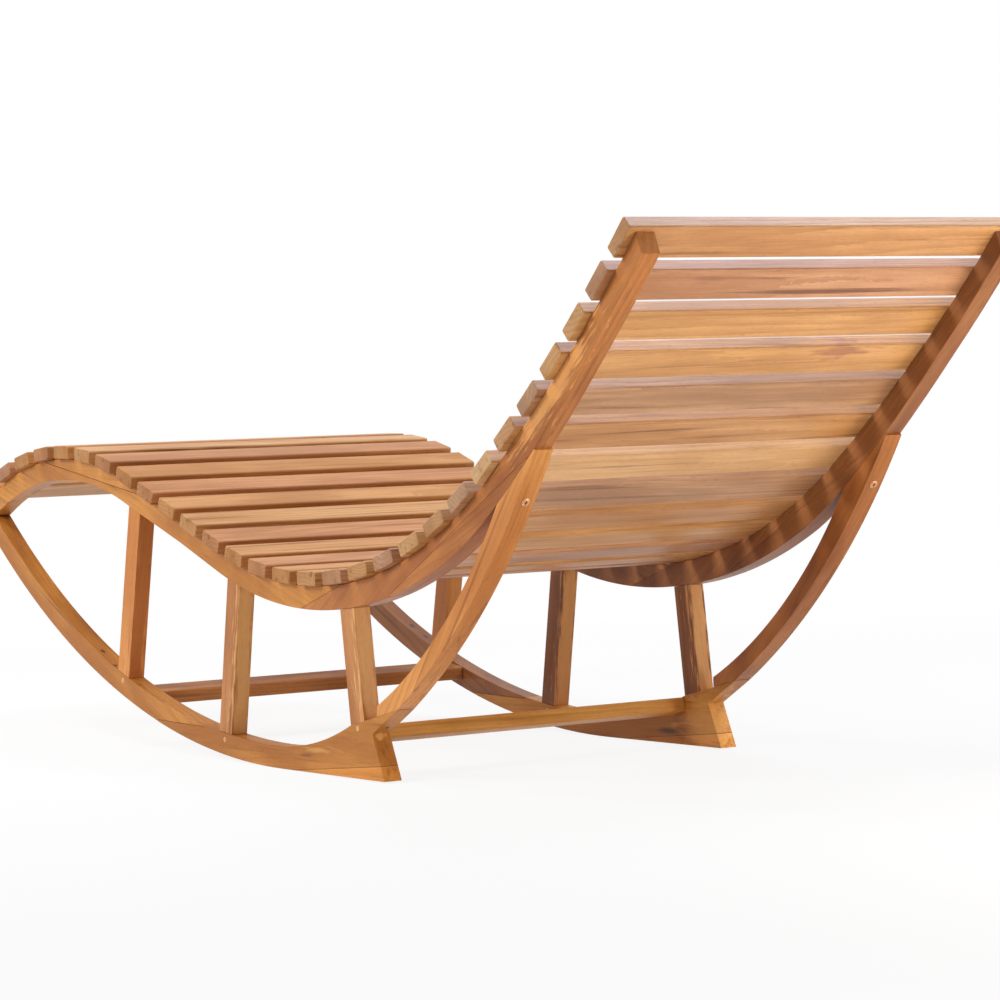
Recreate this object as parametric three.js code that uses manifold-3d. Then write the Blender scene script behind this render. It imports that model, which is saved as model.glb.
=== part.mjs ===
// Rocking chaise lounge of solid teak: two curved side frames under 29 cross slats.
// Millimetres. +X is the sitter's left, +Y points to the head end, +Z is up.

import * as THREE from 'three';
import { mergeVertices } from 'three/addons/utils/BufferGeometryUtils.js';
import Module from 'manifold-3d';

const wasm = await Module();
wasm.setup();

// Clearances between pieces
const fit = 0.3;              // gap left at every glued or screwed seat
const overrun = 4;            // how far a cutting tool runs past the face it cuts

// Slats
const slatLength = 600;       // the overall width of the lounge
const slatWidth = 50;
const slatThickness = 20;
const slatEdgeRadius = 3.2;     // radius of the long edges
const slatEndChamfer = 1.2;      // chamfer around the end grain
const slatPitch = 69.1;     // centre to centre, along the rails

// Side frames
const frameInset = 11;        // slat ends stand this far past the side frames
const boardThickness = 27;
const uprightThickness = 25;

// The line that carries the slats, from the head end to the feet
const headHeight = 680.5;     // height of the line at the first slat
const headReach = 876;        // first slat from the rest point of the runner
const headAngle = 45.6;       // slope of the back there, in degrees
const backRadius = 2520;
const backLength = 430;
const hipRadius = 767;
const hipLength = 732;
const seatLength = 299;
const kneeRadius = 626;
const headOverhangLength = 18;      // rail past the middle of the first slat
const headSlantLength = 11.5;       // its rear corner lies this far short of its front one

// Depth of the rail along the line
const railDepthTip = 26;
const railDepthShoulder = 29;
const railDepthBack = 36;
const railDepthHip = 39;
const railDepthValley = 33;
const railDepthSeat = 29;
const railDepthKnee = 32;

// Runner
const runnerRadius = 1480;
const runnerDepth = 31;
const runnerFacetLength = 28;       // chord of the arc between two facet edges
const heelFacets = 0.5;       // facets from the rest point to the straight heel
const heelLength = 270;
const scarfTopReach = 208.5;  // runner seam on its top edge, ahead of the rest point
const scarfBottomReach = 353; // the same seam on the sole
const noseRadius = 22;
const noseSteps = 4;          // facets on each half of the rounded nose
const noseMargin = 40;        // least distance from the last slat's middle to the nose
const nib = 2.4;              // blunt end of each glued seam
const railFacetLength = 17.3;       // step along the rail curves

// Foot
const filletReach = 8;        // where the runner's top edge starts to rise, ahead of the rest point
const footBackLean = 24;      // slope of the foot's back edge from upright, in degrees
const footBackLength = 67;    // from the tail tip up to the corner under the brace
const shoulderSlope = 13;     // rise of the shoulder towards the back, in degrees
const shoulderTail = 106;     // shoulder behind the middle of the rear upright
const shoulderLedge = 1;      // shoulder ahead of the rear upright

// Uprights: place of the axis at the joint with the runner, and lean towards the head
const uprightWidth = 35.5;
const frontUprightReach = 460;
const middleUprightReach = 149;
const rearUprightSetback = 66.4; // axis of the rear one ahead of the tail tip
const rearUprightRise = 73;   // and its joint with the foot above the tail tip
const frontUprightLean = 12.1;
const middleUprightLean = 9.9;
const rearUprightLean = -6.9;

// Mortise and tenon joints and their pins
const tenonWidth = 24;
const tenonThickness = 9;
const tenonLength = 17;
const pinDiameter = 8;
const pinDepth = 9.5;         // pin centre under the joint
const rearPinDepth = 6.5;
const pinSides = 16;

// Braces between the feet and the back
const braceBase = 52;         // width where it stands on the foot
const braceHeel = 14;         // upright cut at its front corner
const braceFrontRadius = 764;
const braceRearRadius = 1060;

// Brace screws
const screwHeadDiameter = 9;
const screwHeadLength = 2.6;
const screwShankDiameter = 4.6;
const screwLength = 52;
const screwSetback = 86;      // from the top end of the brace, along its rear edge

// Stretchers
const stretcherThickness = 20;
const frontStretcherWidth = 50;
const frontStretcherTilt = -8; // in degrees
const frontStretcherGap = 9;  // behind the front uprights
const frontStretcherDrop = 3; // its top below the runners' top edges there
const rearStretcherWidth = 33;
const rearStretcherTilt = 16.3;
const rearStretcherSetback = 85.4; // its upper rear edge ahead of the tail tip
const rearStretcherRise = 67.4; // and above it

// Seams of the rails and seats of the braces, along the line from the start of an arc
const hipSeamLead = 91;       // ahead of the hip arc, towards the head
const hipSeamReach = 275;     // past the start of the hip arc
const valleySeamLead = 87;    // scarf's top end before the lowest point of the line
const valleySeamReach = 24;   // its lower end past that point
const kneeSeamLead = 58;
const kneeSeamReach = 273;
const braceSeatLead = 112;    // top end of the brace before the hip arc
const braceSeatLength = 110;  // its seat along the rail

// Depth of the rail at shares of the arcs' lengths
const railDepthShares = [
  { arc: 'back', share: 0, depth: railDepthTip },
  { arc: 'back', share: 0.42, depth: railDepthShoulder },
  { arc: 'back', share: 0.84, depth: railDepthBack },
  { arc: 'hip', share: 0.13, depth: railDepthHip },
  { arc: 'hip', share: 0.55, depth: railDepthValley },
  { arc: 'seat', share: 0.39, depth: railDepthSeat },
  { arc: 'seat', share: 1, depth: railDepthKnee },
];

// Colours
const slatColour = 0xc98f5c;
const frameColour = 0xa9642f;
const dowelColour = 0xd39a63;
const brassColour = 0xc08a4a;

const radians = THREE.MathUtils.degToRad;
const frameWidth = slatLength - 2 * frameInset;
const boardCentre = (frameWidth - boardThickness) / 2;

// A plane curve made of arcs that run tangent to each other, stepped out from its start.
class ArcChain {
  constructor(start, heading, arcs) {
    this.start = start;
    this.heading = heading;
    this.arcs = arcs;
  }

  // Place, slope and curvature of the chain at a distance from its start.
  at(distance) {
    let { x, y } = this.start;
    let heading = this.heading;
    let left = distance;
    let bend = 0;
    for (const [index, arc] of this.arcs.entries()) {
      const last = index === this.arcs.length - 1;
      const run = last ? left : Math.min(left, arc.length);
      bend = arc.bend;
      const turned = heading - bend * run;
      if (bend === 0) {
        x -= run * Math.cos(heading);
        y -= run * Math.sin(heading);
      } else {
        x += (Math.sin(turned) - Math.sin(heading)) / bend;
        y -= (Math.cos(turned) - Math.cos(heading)) / bend;
      }
      heading = turned;
      left -= run;
      if (left <= 0) break;
    }
    return { x, y, heading, bend };
  }

  // The point that lies under the chain at a distance, square to it.
  under(distance, drop) {
    const { x, y, heading } = this.at(distance);
    return new THREE.Vector2(x + drop * Math.sin(heading), y - drop * Math.cos(heading));
  }
}

const slatLine = new ArcChain(new THREE.Vector2(headReach, headHeight), radians(headAngle), [
  { length: backLength, bend: 1 / backRadius },
  { length: hipLength, bend: 1 / hipRadius },
  { length: seatLength, bend: 0 },
  { length: kneeRadius, bend: -1 / kneeRadius },
]);

// Places along the line
const hipStart = backLength;
const seatStart = hipStart + hipLength;
const kneeStart = seatStart + seatLength;
const valley = hipStart + hipRadius * slatLine.at(hipStart).heading;
const kneeCrest = kneeStart - kneeRadius * slatLine.at(kneeStart).heading;
const hipSeam = { head: hipStart - hipSeamLead, foot: hipStart + hipSeamReach };
const valleySeam = { top: valley - valleySeamLead, under: valley + valleySeamReach };
const kneeSeam = { head: kneeStart - kneeSeamLead, foot: kneeStart + kneeSeamReach };
const braceSeat = { top: hipStart - braceSeatLead, under: hipStart - braceSeatLead + braceSeatLength };
const arcStarts = { back: 0, hip: hipStart, seat: seatStart };
const arcLengths = { back: backLength, hip: hipLength, seat: seatLength };
const depthKnots = railDepthShares.map(({ arc, share, depth }) => (
  { at: arcStarts[arc] + share * arcLengths[arc], depth }
));

// Depth of the rail at a distance along the line, even between one knot and the next.
function railDepth(distance) {
  const next = depthKnots.findIndex((knot) => knot.at > distance);
  if (next === 0) return depthKnots[0].depth;
  if (next < 0) return depthKnots.at(-1).depth;
  const [a, b] = [depthKnots[next - 1], depthKnots[next]];
  return THREE.MathUtils.lerp(a.depth, b.depth, (distance - a.at) / (b.at - a.at));
}

const railUnderside = (distance, gap = 0) => slatLine.under(distance, railDepth(distance) + gap);

// The runner's arc: its centre stands straight over the rest point.
const runnerCentre = new THREE.Vector2(0, runnerRadius);
const facetAngle = runnerFacetLength / runnerRadius;

function onRunner(angle, inset = 0) {
  const radius = runnerRadius - inset;
  return new THREE.Vector2(radius * Math.sin(angle), runnerRadius - radius * Math.cos(angle));
}

const angleAtReach = (reach, inset) => Math.asin(reach / (runnerRadius - inset));
const onRunnerTop = (reach) => onRunner(angleAtReach(reach, runnerDepth), runnerDepth);

// The parameter between low and high where a rising or falling measure passes zero.
function solve(measure, low, high) {
  let [a, b] = [low, high];
  const rising = measure(b) > measure(a);
  for (let turn = 0; turn < 60; turn += 1) {
    const middle = (a + b) / 2;
    if (measure(middle) > 0 === rising) b = middle;
    else a = middle;
  }
  return (a + b) / 2;
}

// Points of a curve from one parameter to another, no further apart than about the step.
function sample(curve, from, to, step) {
  const count = Math.max(1, Math.round(Math.abs(to - from) / step));
  return Array.from({ length: count + 1 }, (_, i) => curve(from + (to - from) * i / count));
}

// Points of a circular arc from one point to another that bulges to the right of the way.
function arcBetween(from, to, radius, step) {
  const chord = to.clone().sub(from);
  const half = Math.asin(chord.length() / (2 * radius));
  const side = new THREE.Vector2(chord.y, -chord.x).normalize();
  const centre = from.clone().add(to).multiplyScalar(1 / 2).addScaledVector(side, -radius * Math.cos(half));
  const start = Math.atan2(from.y - centre.y, from.x - centre.x);
  const point = (turn) => new THREE.Vector2(
    centre.x + radius * Math.cos(start + turn),
    centre.y + radius * Math.sin(start + turn),
  );
  return sample(point, 0, 2 * half, step / radius);
}

const mix = (a, b, share) => a.clone().lerp(b, share);
const direction = (angle) => new THREE.Vector2(Math.cos(angle), Math.sin(angle));

// Where two lines meet, each given by a point and a direction.
function crossing(p, u, q, v) {
  const scale = u.x * v.y - u.y * v.x;
  const between = q.clone().sub(p);
  return p.clone().addScaledVector(u, (between.x * v.y - between.y * v.x) / scale);
}

// A board cut to an outline in the side view, as thick as given, centred across.
function board(outline, thickness) {
  const shape = new THREE.Shape(outline);
  const geometry = new THREE.ExtrudeGeometry(shape, { depth: thickness, bevelEnabled: false });
  geometry.translate(0, 0, -thickness / 2);
  return geometry.applyMatrix4(sideView);
}

const sideView = new THREE.Matrix4().makeBasis(
  new THREE.Vector3(0, 1, 0),
  new THREE.Vector3(0, 0, 1),
  new THREE.Vector3(1, 0, 0),
);

// A block of given sizes across, along and up, set at a point of the side view and turned.
function block(across, along, up, point, angle) {
  const geometry = new THREE.BoxGeometry(across, along, up);
  geometry.rotateX(angle);
  return geometry.translate(0, point.x, point.y);
}

function toSolid(geometry) {
  const bare = geometry.clone();
  bare.deleteAttribute('normal');
  bare.deleteAttribute('uv');
  const merged = mergeVertices(bare);
  return new wasm.Manifold(new wasm.Mesh({
    numProp: 3,
    vertProperties: merged.attributes.position.array,
    triVerts: Uint32Array.from(merged.index.array),
  }));
}

function toGeometry(solid) {
  const { vertProperties, triVerts } = solid.getMesh();
  const geometry = new THREE.BufferGeometry();
  geometry.setAttribute('position', new THREE.BufferAttribute(vertProperties, 3));
  geometry.setIndex(new THREE.BufferAttribute(triVerts, 1));
  geometry.computeVertexNormals();
  return geometry;
}

// The first geometry with the others joined on and then the tools cut away.
function worked(geometry, joined, tools) {
  let solid = toSolid(geometry);
  for (const piece of joined) solid = solid.add(toSolid(piece));
  for (const tool of tools) solid = solid.subtract(toSolid(tool));
  return toGeometry(solid);
}

// The nose, where rail and runner meet
const noseStation = solve(
  (s) => slatLine.under(s, 0).distanceTo(runnerCentre) - runnerRadius,
  kneeCrest,
  kneeCrest + kneeRadius,
);
const crotchStation = solve(
  (s) => railUnderside(s).distanceTo(runnerCentre) - (runnerRadius - runnerDepth),
  kneeCrest,
  noseStation,
);
const slatCount = 1 + Math.floor((noseStation - noseMargin) / slatPitch);
const noseTip = slatLine.under(noseStation, 0);
const noseAngle = Math.asin(noseTip.x / runnerRadius);
const crotch = railUnderside(crotchStation);
const noseTop = slatLine.under(noseStation - noseRadius, 0);
const noseSole = onRunner(noseAngle + noseRadius / runnerRadius);
const nosePoints = new THREE.QuadraticBezierCurve(noseTop, noseTip, noseSole).getPoints(2 * noseSteps);
const noseFront = nosePoints[noseSteps];
const mitre = noseFront.clone().sub(crotch).normalize();
const mitreLift = new THREE.Vector2(mitre.y, -mitre.x).multiplyScalar(fit / 2);

// The straight heel runs on from the arc to the tail tip
const heelAngle = heelFacets * facetAngle;
const heelStart = onRunner(heelAngle);
const tailTip = heelStart.clone().addScaledVector(direction(heelAngle), heelLength);

// Uprights stand square on their own axes
const rearUprightFoot = tailTip.clone().add(new THREE.Vector2(-rearUprightSetback, rearUprightRise));
const uprights = {
  front: { lean: frontUprightLean, foot: onRunnerTop(-frontUprightReach) },
  middle: { lean: middleUprightLean, foot: onRunnerTop(-middleUprightReach) },
  rear: { lean: rearUprightLean, foot: rearUprightFoot },
};

for (const upright of Object.values(uprights)) {
  upright.tilt = -radians(upright.lean);
  upright.up = direction(Math.PI / 2 + upright.tilt);
  upright.side = direction(upright.tilt);
  upright.reach = (point) => point.clone().sub(upright.foot).dot(upright.side);
  upright.stationAt = (offset, gap) => solve(
    (s) => upright.reach(railUnderside(s, gap)) - offset,
    hipStart,
    noseStation,
  );
  upright.head = railUnderside(upright.stationAt(0, 0), 0);
}

// The straight shoulder of the foot carries the rear upright and the brace
const footBack = direction(Math.PI / 2 + radians(footBackLean));
const footCorner = tailTip.clone().addScaledVector(footBack, footBackLength);
const shoulderWay = direction(radians(shoulderSlope));
const shoulderGap = direction(Math.PI / 2 + radians(shoulderSlope)).multiplyScalar(fit);
const shoulderLead = uprightWidth / 2 + shoulderLedge;
const shoulderFront = uprights.rear.foot.clone().addScaledVector(shoulderWay, -shoulderLead);
const shoulderBack = uprights.rear.foot.clone().addScaledVector(shoulderWay, shoulderTail);
const braceFront = shoulderBack.clone().addScaledVector(shoulderWay, -braceBase);

// Mortises and pin holes
function tenon(upright, point, upward, gap) {
  const reach = tenonLength + gap;
  const centre = point.clone().addScaledVector(upright.up, upward * (reach - overrun) / 2);
  const size = [tenonThickness + 2 * gap, tenonWidth + 2 * gap, reach + overrun];
  return block(...size, centre, upright.tilt);
}

function pinSolid(upright, length, gap) {
  const depth = upright === uprights.rear ? rearPinDepth : pinDepth;
  const centre = upright.foot.clone().addScaledVector(upright.up, -depth);
  const radius = pinDiameter / 2 + gap;
  const geometry = new THREE.CylinderGeometry(radius, radius, length, pinSides);
  geometry.rotateZ(Math.PI / 2);
  return geometry.translate(0, centre.x, centre.y);
}

const pinHole = (upright) => pinSolid(upright, boardThickness + 2 * overrun, fit / 2);
const footMortise = (upright) => tenon(upright, upright.foot, -1, fit);
const headMortise = (upright) => tenon(upright, upright.head, 1, fit);

// The brace, its edges both arcs, closes against the back of the rail
const braceHeelTop = braceFront.clone().add(new THREE.Vector2(0, braceHeel));
const braceFrontEdge = arcBetween(
  braceHeelTop,
  railUnderside(braceSeat.under, fit),
  braceFrontRadius,
  railFacetLength,
);
const braceRearEdge = arcBetween(
  shoulderBack.clone().add(shoulderGap),
  railUnderside(braceSeat.top, fit + nib),
  braceRearRadius,
  railFacetLength,
);

// The screw enters the rear edge of the brace square to it
const screwTurns = Math.round(screwSetback / railFacetLength);
const screwPoint = mix(braceRearEdge.at(-screwTurns), braceRearEdge.at(-screwTurns - 1), 1 / 2);
const screwWay = braceRearEdge.at(-screwTurns).clone().sub(braceRearEdge.at(-screwTurns - 1)).normalize();
const screwAngle = Math.atan2(screwWay.y, screwWay.x);

function screwBody(gap) {
  const head = screwHeadDiameter / 2 + gap;
  const shank = screwShankDiameter / 2 + gap;
  const neck = screwHeadLength + gap;
  const profile = [
    new THREE.Vector2(0, -screwLength - gap),
    new THREE.Vector2(shank, -screwLength - gap + screwHeadLength),
    new THREE.Vector2(shank, -neck),
    new THREE.Vector2(head, -gap),
    new THREE.Vector2(head, gap === 0 ? 0 : overrun),
    new THREE.Vector2(0, gap === 0 ? 0 : overrun),
  ];
  if (gap === 0) profile.splice(3, 1);
  const geometry = new THREE.LatheGeometry(profile, pinSides);
  geometry.rotateX(Math.PI / 2);
  geometry.rotateX(screwAngle - Math.PI);
  return geometry.translate(0, screwPoint.x, screwPoint.y);
}

// Outlines of the curved boards, each seam a straight line with blunt ends

function railBackOutline() {
  const { head, foot } = hipSeam;
  const top = sample((s) => slatLine.under(s, 0), -headOverhangLength, valleySeam.top, railFacetLength);
  const hipFoot = slatLine.under(foot + fit, railDepth(foot) - nib - fit);
  const hipHead = slatLine.under(head - fit, railDepth(head) - nib - fit);
  const valley = sample(railUnderside, valleySeam.under, foot + fit, railFacetLength);
  const back = sample(railUnderside, head - fit, headSlantLength - headOverhangLength, railFacetLength);
  return [...top, ...valley, hipFoot, hipHead, ...back];
}

function railHipOutline() {
  const { head, foot } = hipSeam;
  const under = sample(railUnderside, head, foot, railFacetLength);
  const inFoot = slatLine.under(foot, railDepth(foot) - nib);
  const inHead = slatLine.under(head, railDepth(head) - nib);
  return [...under, inFoot, inHead];
}

function railSeatOutline() {
  const { head, foot } = kneeSeam;
  const start = valleySeam.top + fit;
  const seat = sample((s) => slatLine.under(s, 0), start, head - fit, railFacetLength);
  const inHead = slatLine.under(head - fit, nib + fit);
  const inFoot = slatLine.under(foot + fit, nib + fit);
  const knee = sample((s) => slatLine.under(s, 0), foot + fit, noseStation - noseRadius, railFacetLength);
  const nose = nosePoints.slice(1, noseSteps);
  const tip = noseFront.clone().add(mitreLift);
  const inner = crotch.clone().add(mitreLift);
  const beforeCrotch = crotchStation - railFacetLength;
  const under = sample(railUnderside, beforeCrotch, valleySeam.under + fit, railFacetLength);
  return [...seat, inHead, inFoot, ...knee, ...nose, tip, inner, ...under];
}

function railKneeOutline() {
  const { head, foot } = kneeSeam;
  const top = sample((s) => slatLine.under(s, 0), head, foot, railFacetLength);
  const inFoot = slatLine.under(foot, nib);
  const inHead = slatLine.under(head, nib);
  return [...top, inFoot, inHead];
}

// Seam of the runner: a straight line between the two edges, its ends blunted by the nib.
const scarfTop = angleAtReach(-scarfTopReach, runnerDepth);
const scarfBottom = angleAtReach(-scarfBottomReach, 0);

function runnerOutline() {
  const firstFacet = Math.ceil(noseAngle / facetAngle) + 1;
  const lastFacet = Math.floor(scarfBottom / facetAngle - 1 / 2);
  const sole = sample((i) => onRunner((i + 1 / 2) * facetAngle), firstFacet, lastFacet, 1);
  const scarf = [
    onRunner(scarfBottom),
    onRunner(scarfBottom, nib),
    onRunner(scarfTop, runnerDepth - nib),
    onRunner(scarfTop, runnerDepth),
  ];
  const crotchAngle = Math.asin(crotch.x / (runnerRadius - runnerDepth));
  const top = sample((a) => onRunner(a, runnerDepth), scarfTop, crotchAngle + facetAngle, facetAngle);
  const inner = crotch.clone().sub(mitreLift);
  const tip = noseFront.clone().sub(mitreLift);
  const nose = nosePoints.slice(noseSteps + 1);
  return [...sole, ...scarf, ...top.slice(1), inner, tip, ...nose];
}

function footOutline() {
  const firstFacet = Math.floor(scarfBottom / facetAngle - 1 / 2) + 1;
  const sole = sample((i) => onRunner((i + 1 / 2) * facetAngle), firstFacet, heelFacets - 1 / 2, 1);
  const seam = fit / runnerRadius;
  const scarf = [
    onRunner(scarfTop + seam, runnerDepth),
    onRunner(scarfTop + seam, runnerDepth - nib - fit),
    onRunner(scarfBottom + seam, nib - fit),
    onRunner(scarfBottom + seam),
  ];
  const filletAngle = angleAtReach(-filletReach, runnerDepth);
  const run = sample((a) => onRunner(a, runnerDepth), filletAngle, scarfTop + seam, facetAngle);
  const filletStart = run[0];
  const chord = shoulderFront.clone().sub(filletStart);
  const rise = Math.atan2(chord.y, chord.x) - filletAngle;
  const filletRadius = chord.length() / (2 * Math.sin(rise));
  const fillet = arcBetween(filletStart, shoulderFront, filletRadius, railFacetLength);
  return [...sole, tailTip, footCorner, shoulderBack, shoulderFront,
    ...fillet.slice(1, -1).reverse(), ...run, ...scarf.slice(1)];
}

function braceOutline() {
  const toe = braceFront.clone().add(shoulderGap);
  const contact = sample((s) => railUnderside(s, fit), braceSeat.top, braceSeat.under, railFacetLength);
  return [toe, ...braceRearEdge, ...contact, ...braceFrontEdge.slice(0, -1).reverse()];
}

function uprightOutline(upright) {
  const half = uprightWidth / 2;
  const head = sample(
    (offset) => railUnderside(upright.stationAt(offset, fit), fit),
    half,
    -half,
    uprightWidth / 4,
  );
  const onFoot = (offset) => {
    if (upright === uprights.rear) {
      const edge = upright.foot.clone().addScaledVector(upright.side, offset);
      return crossing(edge, upright.up, upright.foot.clone().add(shoulderGap), shoulderWay);
    }
    const angle = solve(
      (a) => upright.reach(onRunner(a, runnerDepth + fit)) - offset,
      noseAngle,
      heelAngle,
    );
    return onRunner(angle, runnerDepth + fit);
  };
  return [...sample(onFoot, -half, half, uprightWidth / 4), ...head];
}

// A plank with rounded long edges and eased ends, centred, lying across
function plank(length, width, thickness) {
  const [w, t, r] = [width / 2, thickness / 2, slatEdgeRadius];
  const section = new THREE.Shape();
  section.moveTo(w, t - r);
  section.absarc(w - r, t - r, r, 0, Math.PI / 2);
  section.absarc(r - w, t - r, r, Math.PI / 2, Math.PI);
  section.absarc(r - w, r - t, r, Math.PI, 3 * Math.PI / 2);
  section.absarc(w - r, r - t, r, 3 * Math.PI / 2, 2 * Math.PI);
  const depth = length - 2 * slatEndChamfer;
  const geometry = new THREE.ExtrudeGeometry(section, {
    depth,
    curveSegments: 3,
    bevelThickness: slatEndChamfer,
    bevelSize: slatEndChamfer,
    bevelOffset: -slatEndChamfer,
    bevelSegments: 1,
  });
  geometry.translate(0, 0, -depth / 2);
  return geometry.applyMatrix4(sideView);
}

const group = new THREE.Group();
const chair = new THREE.Group();
group.add(chair);

function place(name, geometry, colour, metalness = 0) {
  const material = new THREE.MeshStandardMaterial({ color: colour, roughness: 0.6, metalness });
  const mesh = new THREE.Mesh(geometry, material);
  mesh.name = name;
  chair.add(mesh);
  return mesh;
}

// Slats seat on the rails; in the hollow of the back their edges touch first
const slat = plank(slatLength, slatWidth, slatThickness);
for (let number = 1; number <= slatCount; number += 1) {
  const distance = (number - 1) * slatPitch;
  const { heading, bend } = slatLine.at(distance);
  const hollow = Math.max(0, bend) * slatWidth ** 2 / 8;
  const centre = slatLine.under(distance, -(fit + hollow + slatThickness / 2));
  const mesh = place(`slat_${String(number).padStart(2, '0')}`, slat, slatColour);
  mesh.rotation.x = heading;
  mesh.position.set(0, centre.x, centre.y);
}

// Side frames
const screwHole = screwBody(fit / 2);
const headMortises = Object.values(uprights).map(headMortise);
const footJoints = Object.values(uprights).flatMap((upright) => [footMortise(upright), pinHole(upright)]);
const boards = {
  rail_back: worked(board(railBackOutline(), boardThickness), [], [screwHole, ...headMortises]),
  rail_hip: worked(board(railHipOutline(), boardThickness), [], [screwHole]),
  rail_seat: worked(board(railSeatOutline(), boardThickness), [], headMortises),
  rail_knee: board(railKneeOutline(), boardThickness),
  runner: worked(board(runnerOutline(), boardThickness), [], footJoints),
  foot: worked(board(footOutline(), boardThickness), [], footJoints),
  brace: worked(board(braceOutline(), boardThickness), [], [screwHole]),
};
for (const [name, upright] of Object.entries(uprights)) {
  boards[`upright_${name}`] = worked(
    board(uprightOutline(upright), uprightThickness),
    [tenon(upright, upright.foot, -1, 0), tenon(upright, upright.head, 1, 0)],
    [pinHole(upright)],
  );
}

for (const [side, sign] of [['left', 1], ['right', -1]]) {
  for (const [name, geometry] of Object.entries(boards)) {
    place(`${name}_${side}`, geometry, frameColour).position.x = sign * boardCentre;
  }
  for (const [name, upright] of Object.entries(uprights)) {
    const pin = place(`pin_${name}_${side}`, pinSolid(upright, boardThickness, 0), dowelColour);
    pin.position.x = sign * boardCentre;
  }
  place(`brace_screw_${side}`, screwBody(0), brassColour, 0.9).position.x = sign * boardCentre;
}

// Stretchers fit between the side frames, the rear one close under the feet's sweep
const stretcherLength = frameWidth - 2 * boardThickness - 2 * fit;
const frontStretcherLead = (uprightWidth + frontStretcherWidth) / 2 + frontStretcherGap;
const frontStretcherReach = uprights.front.foot.x + frontStretcherLead;
const frontStretcherTop = onRunnerTop(frontStretcherReach).y - frontStretcherDrop;
const rearStretcherEdge = tailTip.clone().add(new THREE.Vector2(-rearStretcherSetback, rearStretcherRise));
const stretchers = {
  front: {
    width: frontStretcherWidth,
    centre: new THREE.Vector2(frontStretcherReach, frontStretcherTop - stretcherThickness / 2),
    tilt: radians(frontStretcherTilt),
  },
  rear: {
    width: rearStretcherWidth,
    centre: rearStretcherEdge
      .addScaledVector(direction(radians(rearStretcherTilt)), -rearStretcherWidth / 2)
      .addScaledVector(direction(radians(rearStretcherTilt) - Math.PI / 2), stretcherThickness / 2),
    tilt: radians(rearStretcherTilt),
  },
};
for (const [name, { width, centre, tilt }] of Object.entries(stretchers)) {
  const mesh = place(`stretcher_${name}`, plank(stretcherLength, width, stretcherThickness), frameColour);
  mesh.rotation.x = tilt;
  mesh.position.set(0, centre.x, centre.y);
}

// The origin lies under the middle of the lounge, on the floor
const bounds = new THREE.Box3().setFromObject(chair, true);
chair.position.set(0, -(bounds.min.y + bounds.max.y) / 2, -bounds.min.z);

export default group;
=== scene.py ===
"""Looks of a rocking chaise lounge in oiled teak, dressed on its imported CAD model.

Places are metres in the CAD frame: +X is the side nearer the camera, +Y the head end and +Z up. Wood
patterns are given in millimetres, as a joiner would measure them on a board.
"""

import logging
import math
import random
from dataclasses import dataclass
from enum import Enum

import bpy
from mathutils import Euler, Matrix, Vector


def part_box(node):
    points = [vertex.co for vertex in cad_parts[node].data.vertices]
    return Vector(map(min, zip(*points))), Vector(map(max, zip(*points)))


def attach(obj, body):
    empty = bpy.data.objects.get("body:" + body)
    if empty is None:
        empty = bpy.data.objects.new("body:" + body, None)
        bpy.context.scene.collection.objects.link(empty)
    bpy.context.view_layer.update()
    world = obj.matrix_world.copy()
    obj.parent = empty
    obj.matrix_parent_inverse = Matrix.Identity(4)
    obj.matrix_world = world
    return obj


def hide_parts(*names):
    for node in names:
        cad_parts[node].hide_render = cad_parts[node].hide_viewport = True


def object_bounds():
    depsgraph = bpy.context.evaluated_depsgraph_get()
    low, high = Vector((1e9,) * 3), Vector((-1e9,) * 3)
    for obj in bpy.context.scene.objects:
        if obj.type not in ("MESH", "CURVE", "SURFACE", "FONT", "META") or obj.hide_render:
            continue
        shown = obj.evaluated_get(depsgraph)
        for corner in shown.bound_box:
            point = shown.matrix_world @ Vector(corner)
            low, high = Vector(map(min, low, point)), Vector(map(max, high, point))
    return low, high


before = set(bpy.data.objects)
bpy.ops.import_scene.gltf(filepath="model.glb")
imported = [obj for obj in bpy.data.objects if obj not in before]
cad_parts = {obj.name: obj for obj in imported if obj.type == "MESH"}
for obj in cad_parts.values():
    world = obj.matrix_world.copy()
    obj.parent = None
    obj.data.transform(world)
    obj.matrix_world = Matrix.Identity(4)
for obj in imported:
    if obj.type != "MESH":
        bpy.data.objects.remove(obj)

CAD_LOW, CAD_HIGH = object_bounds()
MM = 0.001
WAVE_PERIOD = 2 * math.pi / 20  # spacing of the wave texture's rings where its scale is 1
TRUNK_REACH = 3000  # millimetres each way along the trunk that a board's middle may lie

# Sockets of a node that mixes two colours, by number, because other sockets share their names
AMOUNT, UNDER, OVER, MIXED = 0, 6, 7, 2

log = logging.getLogger("lounge")
Colour = tuple[float, float, float, float]
NodeInput = bpy.types.NodeSocket | float | tuple | Vector | Colour


def linear(hex_colour: str) -> Colour:
    """Turn an sRGB hex colour into a linear one.

    Args:
        hex_colour: The colour, written as '#rrggbb'.

    Returns:
        Linear red, green and blue, and an alpha of 1.
    """
    shares = [int(hex_colour[start : start + 2], 16) / 255 for start in (1, 3, 5)]
    red, green, blue = [s / 12.92 if s <= 0.04045 else ((s + 0.055) / 1.055) ** 2.4 for s in shares]
    return red, green, blue, 1.0


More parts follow.
